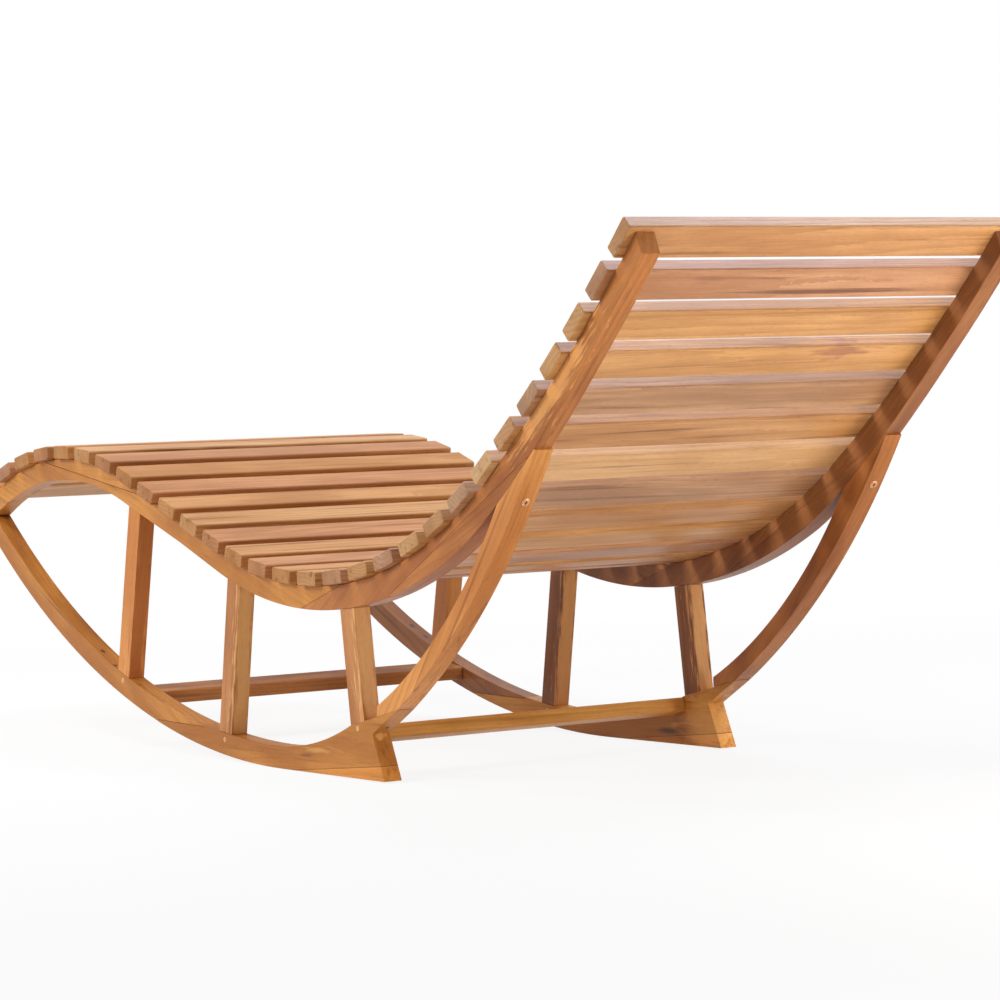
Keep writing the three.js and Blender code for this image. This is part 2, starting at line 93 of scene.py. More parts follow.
def add_node(
    tree: bpy.types.NodeTree,
    kind: str,
    settings: dict[str, object] | None = None,
    links: dict[int | str, NodeInput] | None = None,
) -> bpy.types.Node:
    """Add a node to a tree, with its settings and what goes into it.

    Args:
        tree: The tree that the node joins.
        kind: The node's Blender type.
        settings: Properties of the node, by name.
        links: For each input, by name or number, a socket to link or a value to set.

    Returns:
        The new node.
    """
    node = tree.nodes.new(kind)
    for name, value in (settings or {}).items():
        setattr(node, name, value)
    for key, value in (links or {}).items():
        if isinstance(value, bpy.types.NodeSocket):
            tree.links.new(value, node.inputs[key])
        else:
            node.inputs[key].default_value = value
    return node


def empty_material(name: str) -> bpy.types.Material:
    """Make a material with no nodes in it.

    Args:
        name: The material's name.

    Returns:
        The new material.
    """
    made = bpy.data.materials.new(name)
    made.use_nodes = True
    made.node_tree.nodes.clear()
    return made


def wear(piece: bpy.types.Object, material: bpy.types.Material) -> None:
    """Give a piece one material.

    Args:
        piece: The mesh object that wears it.
        material: The material.
    """
    if not piece.material_slots:
        piece.data.materials.append(material)
    for place in piece.material_slots:
        place.link = "OBJECT"
        place.material = material


def middle_of(name: str) -> Vector:
    """Find the middle of a CAD piece's box, in metres."""
    return sum(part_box(name), Vector()) / 2


class Tone(Enum):
    """Shades of teak board: its pale wood, the dark line of a ring, its heart and its veins."""

    PALE = ("#e8bb85", "#cd985f", "#d29d62", "#a26f3e")
    GOLDEN = ("#dba568", "#c1894d", "#c0884c", "#935d2b")
    HONEY = ("#d6a068", "#b9814a", "#b57b43", "#885327")
    ROSY = ("#cf9a70", "#b27b52", "#ab7247", "#764428")
    ASHEN = ("#ca9b70", "#a97b55", "#a3744e", "#6e472c")
    AMBER = ("#dd9852", "#c37b3b", "#b86f32", "#854b1e")
    RUSSET = ("#be7a40", "#9a5a28", "#8a4b21", "#5f3213")
    COPPER = ("#c9883f", "#ad6b2a", "#a06026", "#6e3f18")
    UMBER = ("#c98a54", "#a06436", "#9a5e30", "#683e1c")
    # Painted shade: a darker tone for the right side's boards
    SEPIA_SHADED = ("#a86e40", "#875230", "#794629", "#54301b")
    # Painted light: a paler gold for the rear stretcher, which lies in the shade of the back
    PAINTED_LIGHT_GOLD = ("#f2b364", "#d69748", "#cc8a3c", "#9a6028")
    TAWNY = ("#d0955a", "#b47840", "#ae7039", "#804e22")
    BRICK = ("#cd8f5d", "#ae7345", "#a66b3d", "#764321")


@dataclass(frozen=True)
class GrainLay:
    """How a board lay in the log that it was sawn from.

    Attributes:
        centre: The board's middle, in metres.
        turn: The turn that brings the board's grain onto X.
        pith: The board's middle as seen from the log's heart, in millimetres: along, through and across.
    """

    centre: Vector
    turn: Euler
    pith: Vector

    @property
    def along(self) -> Vector:
        """The direction of the grain in the CAD frame."""
        return self.turn.to_matrix().inverted() @ Vector((1, 0, 0))

    @property
    def offset(self) -> Vector:
        """The shift in millimetres that puts the log's heart on the X axis."""
        return self.pith - self.turn.to_matrix() @ self.centre / MM


@dataclass(frozen=True)
class Mark:
    """A knot or another patch of its own colour in the wood, or a patch of painted light or shade.

    Attributes:
        centre: Its middle, in metres.
        radius: Its radius across the grain, in metres.
        colour: Its sRGB colour.
        stretch: How much longer it is along the grain than across.
        core: The share of its radius that has the full colour.
    """

    centre: Vector
    radius: float
    colour: str = "#4a2a16"
    stretch: float = 1.6
    core: float = 0.4


@dataclass(frozen=True)
class Seam:
    """A glue line across the face of a board, with the wood below it a shade of its own.

    Attributes:
        point: A point on the line, in metres.
        normal: The direction that points up off the line.
        width: The line's width, in metres.
        lift: How much lighter the wood is below the line.
    """

    point: Vector
    normal: Vector
    width: float = 1.3 * MM
    lift: float = 1.12


@dataclass(frozen=True)
class OiledTeak:
    """Teak, sawn, planed, sanded and oiled.

    Plantation teak has growth rings 4 to 8 mm apart, dark veins that run with the grain, and open pores.
    The oil deepens its colours and leaves a satin sheen that is a little broken by the pores. The rings
    are solid, round the log's heart, so the flat face shows long arches, the edge straight lines, and
    the sawn end short arcs in darker wood.

    Attributes:
        tone: The board's shade.
        lay: How the board lay in the log.
        ring: Spacing of the rings, in millimetres.
        contrast: How dark the line of a ring is, from 0 to 1.
        veins: How strong the dark veins are, from 0 to 1.
        gloss: The specular level that the oil leaves, lower where the wood has drunk more of it.
        end: The shade of the sawn ends, as a share of the wood's.
        marks: Knots, streaks and other patches of their own colour, and patches of painted light and shade.
        seam: A glue line, if the board has one.
    """

    tone: Tone
    lay: GrainLay
    ring: float = 6.0
    contrast: float = 0.6
    veins: float = 0.6
    gloss: float = 0.5
    end: float = 0.92
    marks: tuple[Mark, ...] = ()
    seam: Seam | None = None

    # Sizes of the figure along, through and across the grain, in millimetres. Real pores are 0.3 mm
    # wide and fibres finer still: both are drawn coarser here, so that they show at the render's scale.
    WAVER = Vector((330, 60, 60))
    CLOUD = Vector((240, 50, 70))
    VEIN = Vector((480, 9, 13))
    FIBRE = Vector((75, 1.7, 1.9))
    PORE = Vector((13, 1.1, 1.1))
    FRAY = Vector((40, 6, 5))
    WAVER_REACH = 15.0  # millimetres that a ring strays from its circle
    NOISE_ROUGHNESS = 0.55
    RING_WOBBLE = {"Distortion": 0.9, "Detail": 2.0, "Detail Scale": 1.5}
    LINE_HEIGHT = -0.3  # height of a ring's line, as a share of the fibres' height
    BUMP_DEPTH = 0.25 * MM
    BUMP_STRENGTH = 0.5
    MARK_STRENGTH = 0.9
    SEAM_STRENGTH = 0.75
    SEAM_CORE = 0.3  # share of a glue line's width that has its full colour
    IOR = 1.5

    # For each part of the figure, the strengths between which it tells, and what it gives at each
    ROUGHNESS = {"From Min": 0.3, "From Max": 0.7, "To Min": 0.46, "To Max": 0.34}
    RAGGEDNESS = {"From Min": 0.3, "From Max": 0.7, "To Min": 0.5, "To Max": 1.7}
    RING_LINE = {"From Min": 0.25, "From Max": 1.0, "To Min": 0.0}
    CLOUDING = {"From Min": 0.35, "From Max": 0.68, "To Min": 0.0, "To Max": 0.8}
    VEINING = {"From Min": 0.56, "From Max": 0.72, "To Min": 0.0}
    FIBRE_SHADE = {"From Min": 0.28, "From Max": 0.72, "To Min": 0.91, "To Max": 1.08}
    PORE_SHADE = {"From Min": 0.62, "From Max": 0.74, "To Min": 1.0, "To Max": 0.76}
    END_SHADE = {"From Min": 0.55, "From Max": 0.95, "To Min": 1.0}

    def material(self, name: str) -> bpy.types.Material:
        """Build the board's material.

        Args:
            name: The material's name.

        Returns:
            The material.
        """
        made = empty_material(name)
        tree = made.node_tree
        coords = add_node(tree, "ShaderNodeTexCoord")
        figure = self._figure(tree, coords)
        colour = self._colour(tree, figure)
        colour = self._marked(tree, coords, figure, colour)
        if self.seam:
            colour = self._seamed(tree, coords, self.seam, colour)
        shade = self._shade(tree, coords, figure)
        shaded = add_node(tree, "ShaderNodeVectorMath", {"operation": "SCALE"}, {0: colour, "Scale": shade})
        relief = add_node(
            tree,
            "ShaderNodeMath",
            {"operation": "MULTIPLY_ADD"},
            {0: figure["line"], 1: self.LINE_HEIGHT, 2: figure["fibre"]},
        )
        bump = add_node(
            tree,
            "ShaderNodeBump",
            {},
            {"Strength": self.BUMP_STRENGTH, "Distance": self.BUMP_DEPTH, "Height": relief.outputs[0]},
        )
        sheen = add_node(tree, "ShaderNodeMapRange", {}, {"Value": figure["fibre"], **self.ROUGHNESS})
        surface = add_node(
            tree,
            "ShaderNodeBsdfPrincipled",
            {},
            {
                "Base Color": shaded.outputs[0],
                "Roughness": sheen.outputs[0],
                "Normal": bump.outputs[0],
                "IOR": self.IOR,
                "Specular IOR Level": self.gloss,
            },
        )
        add_node(tree, "ShaderNodeOutputMaterial", {}, {"Surface": surface.outputs[0]})
        return made

    def _figure(self, tree: bpy.types.NodeTree, coords: bpy.types.Node) -> dict[str, bpy.types.NodeSocket]:
        """Add the nodes for rings, fibres, pores, veins and clouds.

        Args:
            tree: The material's tree.
            coords: Its texture coordinates.

        Returns:
            The strength of each part of the figure, by name.
        """
        board = add_node(
            tree,
            "ShaderNodeMapping",
            {"vector_type": "POINT"},
            {
                "Vector": coords.outputs["Object"],
                "Location": self.lay.offset,
                "Rotation": self.lay.turn,
                "Scale": (1 / MM, 1 / MM, 1 / MM),
            },
        ).outputs[0]
        noises = {}
        for part, size, detail in (
            ("waver", self.WAVER, 2.0),
            ("cloud", self.CLOUD, 2.0),
            ("vein", self.VEIN, 3.0),
            ("fibre", self.FIBRE, 3.0),
            ("pore", self.PORE, 1.0),
            ("fray", self.FRAY, 3.0),
        ):
            stretched = add_node(
                tree, "ShaderNodeVectorMath", {"operation": "DIVIDE"}, {0: board, 1: size}
            )
            noises[part] = add_node(
                tree,
                "ShaderNodeTexNoise",
                {},
                {
                    "Vector": stretched.outputs[0],
                    "Scale": 1.0,
                    "Detail": detail,
                    "Roughness": self.NOISE_ROUGHNESS,
                },
            )
        bent = add_node(
            tree,
            "ShaderNodeVectorMath",
            {"operation": "MULTIPLY_ADD"},
            {0: noises["waver"].outputs[1], 1: (0, self.WAVER_REACH, self.WAVER_REACH), 2: board},
        )
        rings = add_node(
            tree,
            "ShaderNodeTexWave",
            {"wave_type": "RINGS", "rings_direction": "X", "wave_profile": "SAW"},
            {"Vector": bent.outputs[0], "Scale": WAVE_PERIOD / self.ring, **self.RING_WOBBLE},
        )
        figure = {part: noises[part].outputs[0] for part in ("fibre", "pore", "fray")}
        for part, strength, reach in (
            ("line", rings.outputs[1], {**self.RING_LINE, "To Max": self.contrast}),
            ("cloud", noises["cloud"].outputs[0], self.CLOUDING),
            ("vein", noises["vein"].outputs[0], {**self.VEINING, "To Max": self.veins}),
        ):
            figure[part] = add_node(
                tree,
                "ShaderNodeMapRange",
                {"interpolation_type": "SMOOTHSTEP"},
                {"Value": strength, **reach},
            ).outputs[0]
        return figure

    def _colour(
        self, tree: bpy.types.NodeTree, figure: dict[str, bpy.types.NodeSocket]
    ) -> bpy.types.NodeSocket:
        """Add the nodes that mix the board's colours by its figure.

        Args:
            tree: The material's tree.
            figure: The strength of each part of the figure.

        Returns:
            The mixed colour.
        """
        pale, ring, heart, vein = (linear(colour) for colour in self.tone.value)
        mixed: NodeInput = pale
        for strength, colour in ((figure["cloud"], heart), (figure["line"], ring), (figure["vein"], vein)):
            mixed = add_node(
                tree,
                "ShaderNodeMix",
                {"data_type": "RGBA"},
                {AMOUNT: strength, UNDER: mixed, OVER: colour},
            ).outputs[MIXED]
        return mixed

    def _marked(
        self,
        tree: bpy.types.NodeTree,
        coords: bpy.types.Node,
        figure: dict[str, bpy.types.NodeSocket],
        colour: bpy.types.NodeSocket,
    ) -> bpy.types.NodeSocket:
        """Add the nodes for the board's patches of their own colour and of painted light and shade.

        Args:
            tree: The material's tree.
            coords: Its texture coordinates.
            figure: The strength of each part of the figure.
            colour: The colour of the bare wood.

        Returns:
            The colour with marks.
        """
        frayed = add_node(tree, "ShaderNodeMapRange", {}, {"Value": figure["fray"], **self.RAGGEDNESS})
        for mark in self.marks:
            away = add_node(
                tree,
                "ShaderNodeVectorMath",
                {"operation": "SUBTRACT"},
                {0: coords.outputs["Object"], 1: mark.centre},
            ).outputs[0]
            along = add_node(
                tree, "ShaderNodeVectorMath", {"operation": "DOT_PRODUCT"}, {0: away, 1: self.lay.along}
            ).outputs["Value"]
            shorter = add_node(
                tree,
                "ShaderNodeVectorMath",
                {"operation": "SCALE"},
                {0: self.lay.along * (1 / mark.stretch - 1), "Scale": along},
            )
            away = add_node(
                tree, "ShaderNodeVectorMath", {"operation": "ADD"}, {0: away, 1: shorter.outputs[0]}
            ).outputs[0]
            distance = add_node(tree, "ShaderNodeVectorMath", {"operation": "LENGTH"}, {0: away})
            ragged = add_node(
                tree,
                "ShaderNodeMath",
                {"operation": "MULTIPLY"},
                {0: distance.outputs["Value"], 1: frayed.outputs[0]},
            )
            inside = add_node(
                tree,
                "ShaderNodeMapRange",
                {"interpolation_type": "SMOOTHSTEP"},
                {
                    "Value": ragged.outputs[0],
                    "From Min": mark.radius * mark.core,
                    "From Max": mark.radius,
                    "To Min": self.MARK_STRENGTH,
                    "To Max": 0.0,
                },
            )
            colour = add_node(
                tree,
                "ShaderNodeMix",
                {"data_type": "RGBA"},
                {AMOUNT: inside.outputs[0], UNDER: colour, OVER: linear(mark.colour)},
            ).outputs[MIXED]
        return colour

    def _seamed(
        self,
        tree: bpy.types.NodeTree,
        coords: bpy.types.Node,
        seam: Seam,
        colour: bpy.types.NodeSocket,
    ) -> bpy.types.NodeSocket:
        """Add the nodes for a glue line and for the lighter wood below it.

        Args:
            tree: The material's tree.
            coords: Its texture coordinates.
            seam: The glue line.
            colour: The colour of the wood above it.

        Returns:
            The colour with the glue line.
        """
        height = add_node(
            tree,
            "ShaderNodeVectorMath",
            {"operation": "DOT_PRODUCT"},
            {0: coords.outputs["Object"], 1: seam.normal},
        )
        above = add_node(
            tree,
            "ShaderNodeMath",
            {"operation": "SUBTRACT"},
            {0: height.outputs["Value"], 1: seam.normal.dot(seam.point)},
        )
        lift = add_node(
            tree,
            "ShaderNodeMapRange",
            {},
            {
                "Value": above.outputs[0],
                "From Min": -seam.width,
                "From Max": 0.0,
                "To Min": seam.lift,
                "To Max": 1.0,
            },
        )
        lifted = add_node(
            tree, "ShaderNodeVectorMath", {"operation": "SCALE"}, {0: colour, "Scale": lift.outputs[0]}
        )
        off_line = add_node(tree, "ShaderNodeMath", {"operation": "ABSOLUTE"}, {0: above.outputs[0]})
        on_line = add_node(
            tree,
            "ShaderNodeMapRange",
            {"interpolation_type": "SMOOTHSTEP"},
            {
                "Value": off_line.outputs[0],
                "From Min": seam.width * self.SEAM_CORE,
                "From Max": seam.width,
                "To Min": self.SEAM_STRENGTH,
                "To Max": 0.0,
            },
        )
        vein = linear(self.tone.value[-1])
        return add_node(
            tree,
            "ShaderNodeMix",
            {"data_type": "RGBA"},
            {AMOUNT: on_line.outputs[0], UNDER: lifted.outputs[0], OVER: vein},
        ).outputs[MIXED]

    def _shade(
        self,
        tree: bpy.types.NodeTree,
        coords: bpy.types.Node,
        figure: dict[str, bpy.types.NodeSocket],
    ) -> bpy.types.NodeSocket:
        """Add the nodes that darken pores, fibres and sawn ends.

        Args:
            tree: The material's tree.
            coords: Its texture coordinates.
            figure: The strength of each part of the figure.

        Returns:
            What the colour is multiplied by.
        """
        facing = add_node(
            tree,
            "ShaderNodeVectorMath",
            {"operation": "DOT_PRODUCT"},
            {0: coords.outputs["Normal"], 1: self.lay.along},
        )
        end = add_node(
            tree, "ShaderNodeMath", {"operation": "ABSOLUTE"}, {0: facing.outputs["Value"]}
        )
        shade: NodeInput = 1.0
        for strength, reach in (
            (figure["fibre"], self.FIBRE_SHADE),
            (figure["pore"], self.PORE_SHADE),
            (end.outputs[0], {**self.END_SHADE, "To Max": self.end}),
        ):
            step = add_node(tree, "ShaderNodeMapRange", {}, {"Value": strength, **reach})
            shade = add_node(
                tree, "ShaderNodeMath", {"operation": "MULTIPLY"}, {0: shade, 1: step.outputs[0]}
            ).outputs[0]
        return shade


@dataclass(frozen=True)
class TurnedBrass:
    """Brass, turned on a lathe and left unlacquered.

    It is a warm yellow metal with fine rings from the tool, and it has gone a little brown in patches.
    Its cross recess is drawn dark.

    Attributes:
        centre: Middle of the screw head, in metres.
        axis: The direction that the head faces.
    """

    centre: Vector
    axis: Vector

    BRIGHT = "#f2bb8e"
    TARNISHED = "#b3744a"
    RECESS_DARK = "#2e1c12"
    RECESS_MIDDLE = Vector((0, 0, -0.8))  # millimetres under the brace's face, so that only the recess is near
    TOOL_LINE = 0.45  # millimetres between the tool's rings
    TOOL_LINE_DEPTH = 0.05 * MM
    TOOL_LINE_STRENGTH = 0.3
    PATCH = 2.5  # millimetres across a patch of tarnish

    # The strengths between which each of these tells, and what it gives at each. The darkening of the recess
    # goes by the distance from its middle in millimetres, and roughness by the tarnish.
    TARNISHING = {"From Min": 0.45, "From Max": 0.7, "To Min": 0.0, "To Max": 0.8}
    RECESS_DARKENING = {"From Min": 2.2, "From Max": 2.8, "To Min": 0.85, "To Max": 0.0}
    ROUGHNESS = {"To Min": 0.28, "To Max": 0.5}

    def material(self, name: str) -> bpy.types.Material:
        """Build the screw's material.

        Args:
            name: The material's name.

        Returns:
            The material.
        """
        made = empty_material(name)
        tree = made.node_tree
        turn = self.axis.rotation_difference(Vector((0, 0, 1))).to_euler()
        offset = -(turn.to_matrix() @ self.centre) / MM
        coords = add_node(tree, "ShaderNodeTexCoord")
        place = add_node(
            tree,
            "ShaderNodeMapping",
            {"vector_type": "POINT"},
            {
                "Vector": coords.outputs["Object"],
                "Location": offset,
                "Rotation": turn,
                "Scale": (1 / MM, 1 / MM, 1 / MM),
            },
        )
        lines = add_node(
            tree,
            "ShaderNodeTexWave",
            {"wave_type": "RINGS", "rings_direction": "Z"},
            {"Vector": place.outputs[0], "Scale": WAVE_PERIOD / self.TOOL_LINE, "Distortion": 0.3},
        )
        patch = add_node(
            tree,
            "ShaderNodeTexNoise",
            {},
            {"Vector": place.outputs[0], "Scale": 1 / self.PATCH, "Detail": 3.0},
        )
        tarnish = add_node(tree, "ShaderNodeMapRange", {}, {"Value": patch.outputs[0], **self.TARNISHING})
        # Darker towards a point just under the face, so that the recess is dark
        from_recess = add_node(
            tree, "ShaderNodeVectorMath", {"operation": "DISTANCE"}, {0: place.outputs[0], 1: self.RECESS_MIDDLE}
        )
        recess_darkness = add_node(tree, "ShaderNodeMapRange", {}, {"Value": from_recess.outputs["Value"], **self.RECESS_DARKENING})
        colour: NodeInput = linear(self.BRIGHT)
        for cover, shade in ((tarnish, self.TARNISHED), (recess_darkness, self.RECESS_DARK)):
            colour = add_node(
                tree,
                "ShaderNodeMix",
                {"data_type": "RGBA"},
                {AMOUNT: cover.outputs[0], UNDER: colour, OVER: linear(shade)},
            ).outputs[MIXED]
        rough = add_node(tree, "ShaderNodeMapRange", {}, {"Value": tarnish.outputs[0], **self.ROUGHNESS})
        bump = add_node(
            tree,
            "ShaderNodeBump",
            {},
            {
                "Strength": self.TOOL_LINE_STRENGTH,
                "Distance": self.TOOL_LINE_DEPTH,
                "Height": lines.outputs[1],
            },
        )
        surface = add_node(
            tree,
            "ShaderNodeBsdfPrincipled",
            {},
            {
                "Base Color": colour,
                "Metallic": 1.0,
                "Roughness": rough.outputs[0],
                "Normal": bump.outputs[0],
            },
        )
        add_node(tree, "ShaderNodeOutputMaterial", {}, {"Surface": surface.outputs[0]})
        return made


@dataclass(frozen=True)
class PaintedCove:
    """Matt white paint on the studio floor.

    It shows white to the camera, keeps a soft shadow round the object, and throws pale light back up
    onto its underside. Past a few metres it is plain white, so that it has no horizon.

    Attributes:
        near: Distance in metres up to which the floor takes shadows.
        far: Distance in metres past which it is plain white.
    """

    near: float = 1.6
    far: float = 3.0

    PAINT = "#f4f3f1"
    MOTTLE = 40.0  # millimetres across the faint unevenness that the roller left
    GLOW = 0.88  # share of plain white that the camera sees near the object
    ROUGHNESS = {"To Min": 0.8, "To Max": 1.0}

    def material(self, name: str) -> bpy.types.Material:
        """Build the floor's material.

        Args:
            name: The material's name.

        Returns:
            The material.
        """
        made = empty_material(name)
        tree = made.node_tree
        coords = add_node(tree, "ShaderNodeTexCoord")
        mottle = add_node(
            tree,
            "ShaderNodeTexNoise",
            {},
            {"Vector": coords.outputs["Object"], "Scale": 1 / (self.MOTTLE * MM), "Detail": 2.0},
        )
        rough = add_node(tree, "ShaderNodeMapRange", {}, {"Value": mottle.outputs[0], **self.ROUGHNESS})
        paint = add_node(
            tree,
            "ShaderNodeBsdfDiffuse",
            {},
            {"Color": linear(self.PAINT), "Roughness": rough.outputs[0]},
        )
        white = add_node(tree, "ShaderNodeEmission", {}, {"Color": (1, 1, 1, 1), "Strength": 1.0})
        away = add_node(
            tree, "ShaderNodeVectorMath", {"operation": "LENGTH"}, {0: coords.outputs["Object"]}
        )
        glow = add_node(
            tree,
            "ShaderNodeMapRange",
            {"interpolation_type": "SMOOTHSTEP"},
            {
                "Value": away.outputs["Value"],
                "From Min": self.near,
                "From Max": self.far,
                "To Min": self.GLOW,
                "To Max": 1.0,
            },
        )
        lit = add_node(
            tree, "ShaderNodeMixShader", {}, {0: glow.outputs[0], 1: paint.outputs[0], 2: white.outputs[0]}
        )
        shown = add_node(
            tree, "ShaderNodeMixShader", {}, {0: seen(tree), 1: paint.outputs[0], 2: lit.outputs[0]}
        )
        add_node(tree, "ShaderNodeOutputMaterial", {}, {"Surface": shown.outputs[0]})
        return made


def seen(tree: bpy.types.NodeTree) -> bpy.types.NodeSocket:
    """Add the nodes that tell a ray of the camera, a reflection or a clear surface from light that is lost.

    Args:
        tree: The tree that they join.

    Returns:
        1 for a ray that shows its end, and 0 for any other.
    """
    path = add_node(tree, "ShaderNodeLightPath")
    either = path.outputs["Is Camera Ray"]
    for ray in ("Is Glossy Ray", "Is Transmission Ray"):
        either = add_node(
            tree, "ShaderNodeMath", {"operation": "MAXIMUM"}, {0: either, 1: path.outputs[ray]}
        ).outputs[0]
    return either


class EasedEdges:
    """Sanding that takes the sharpness off a board's edges and fairs its curves.

    The CAD's facets are welded into one skin, its flat faces are joined, its sharp edges are rounded, and
    the light runs smoothly over what is curved.
    """

    WELD = 0.02 * MM
    FLAT = math.radians(0.4)
    SHARP = math.radians(32)
    SEGMENTS = 3
    FAIRING = 60  # how much a large face outweighs a small one where the light runs over both

    def __init__(self) -> None:
        """Build the node group that welds a piece's faces."""
        self.welded = bpy.data.node_groups.new("welded_skin", "GeometryNodeTree")
        for way in ("INPUT", "OUTPUT"):
            self.welded.interface.new_socket("Geometry", in_out=way, socket_type="NodeSocketGeometry")
        start = add_node(self.welded, "NodeGroupInput")
        merged = add_node(
            self.welded,
            "GeometryNodeMergeByDistance",
            {},
            {"Geometry": start.outputs[0], "Distance": self.WELD},
        )
        bare = add_node(
            self.welded,
            "GeometryNodeRemoveAttribute",
            {},
            {"Geometry": merged.outputs[0], "Name": "custom_normal"},
        )
        soft = add_node(
            self.welded,
            "GeometryNodeSetShadeSmooth",
            {"domain": "EDGE"},
            {"Geometry": bare.outputs[0], "Shade Smooth": True},
        )
        smooth = add_node(
            self.welded,
            "GeometryNodeSetShadeSmooth",
            {"domain": "FACE"},
            {"Geometry": soft.outputs[0], "Shade Smooth": True},
        )
        add_node(self.welded, "NodeGroupOutput", {}, {0: smooth.outputs[0]})

    def sand(self, piece: bpy.types.Object, radius: float) -> None:
        """Round a piece's edges.

        Args:
            piece: The CAD piece.
            radius: How far in the rounding reaches, in metres, or 0 where the CAD rounds the edges.
        """
        weld = piece.modifiers.new("weld", "NODES")
        weld.node_group = self.welded
        if radius:
            flat = piece.modifiers.new("join_flat_faces", "DECIMATE")
            flat.decimate_type = "DISSOLVE"
            flat.angle_limit = self.FLAT
            rounding = piece.modifiers.new("round_edges", "BEVEL")
            rounding.width = radius
            rounding.segments = self.SEGMENTS
            rounding.limit_method = "ANGLE"
            rounding.angle_limit = self.SHARP
            rounding.use_clamp_overlap = True
        fair = piece.modifiers.new("fair_curves", "WEIGHTED_NORMAL")
        fair.weight = self.FAIRING


@dataclass
class SlatDeck:
    """The cross slats of the back and the seat.

    Attributes:
        edges: The sanding of their edges.
        seat_tones: The shades of the slats past those of the back, in turn.
        back_tones: The shade of each slat from the head down, read off the photograph.
    """

    edges: EasedEdges

    # Slats that stand steeper than this shed the oil and keep a gloss: into the flat ones it sinks
    BACK_SLOPE = math.radians(15)
    BACK_GLOSS = 0.4
    SEAT_GLOSS = 0.15

    # What a slat's wood is drawn from: degrees that its grain runs off its length, millimetres from the
    # log's heart and between rings, and strengths
    TILT = 1.2
    TWIST = 1.6
    THROUGH = 60
    ACROSS = (35, 110)
    RING = (4.0, 7.5)
    CONTRAST = (0.45, 0.8)
    VEINS = (0.45, 0.95)
    END = 0.72

    FIGURES = {
        "slat_02": (Mark(Vector((0.145, 0.854, 0.639)), 7 * MM, "#a0694a", 6.0, 0.3),),
        "slat_04": (
            Mark(Vector((-0.132, 0.755, 0.550)), 16 * MM, "#b27751", 3.2, 0.4),
            Mark(Vector((0.020, 0.757, 0.549)), 9 * MM, "#dba45f", 9.0, 0.4),
        ),
    }

    seat_tones: tuple[Tone, ...] = (Tone.TAWNY, Tone.BRICK, Tone.TAWNY, Tone.BRICK, Tone.HONEY)
    back_tones: tuple[Tone, ...] = (
        Tone.HONEY,
        Tone.ROSY,
        Tone.GOLDEN,
        Tone.GOLDEN,
        Tone.ASHEN,
        Tone.HONEY,
        Tone.PALE,
        Tone.ASHEN,
        Tone.HONEY,
        Tone.GOLDEN,
        Tone.ROSY,
        Tone.HONEY,
        Tone.ROSY,
        Tone.HONEY,
    )

    def build(self) -> int:
        """Dress every slat.

        Returns:
            The number of slats.
        """
        names = sorted(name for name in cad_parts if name.startswith("slat_"))
        middles = [middle_of(name) for name in names]
        for index, name in enumerate(names):
            before = middles[max(index - 1, 0)]
            after = middles[min(index + 1, len(names) - 1)]
            past_back = index - len(self.back_tones)
            tones = self.back_tones if past_back < 0 else self.seat_tones
            self._dress(name, middles[index], before - after, tones[past_back % len(tones)])
        return len(names)

    def _dress(self, name: str, middle: Vector, rise: Vector, tone: Tone) -> None:
        """Give one slat its wood.

        Args:
            name: The slat's node.
            middle: Its middle.
            rise: The direction across the slats, towards the head.
            tone: Its shade.
        """
        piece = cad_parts[name]
        draw = random.Random(name)
        heading = math.atan2(rise.z, rise.y)
        tilt = math.radians(draw.uniform(-self.TILT, self.TILT))
        twist = math.radians(draw.uniform(-self.TWIST, self.TWIST))
        along = draw.uniform(-TRUNK_REACH, TRUNK_REACH)
        through = draw.uniform(-self.THROUGH, self.THROUGH)
        across = draw.choice((-1, 1)) * draw.uniform(*self.ACROSS)
        wood = OiledTeak(
            tone=tone,
            lay=GrainLay(middle, Euler((-heading, tilt, twist)), Vector((along, through, across))),
            ring=draw.uniform(*self.RING),
            contrast=draw.uniform(*self.CONTRAST),
            veins=draw.uniform(*self.VEINS),
            gloss=self.BACK_GLOSS if heading > self.BACK_SLOPE else self.SEAT_GLOSS,
            end=self.END,
            marks=self.FIGURES.get(name, ()),
        )
        wear(piece, wood.material(f"oiled_teak_{name}"))
        self.edges.sand(piece, 0)


@dataclass(frozen=True)
class BoardCut:
    """How one board of a side frame is cut.

    Attributes:
        board: The board's name without its side.
        grain: The slope of its grain, in degrees up from the head end's direction.
        tone: Its shade.
        easing: How far its edges are rounded, in metres.
        end: The shade of its sawn ends, as a share of the wood's.
    """

    board: str
    grain: float
    tone: Tone
    easing: float = 1.6 * MM
    end: float = 0.92


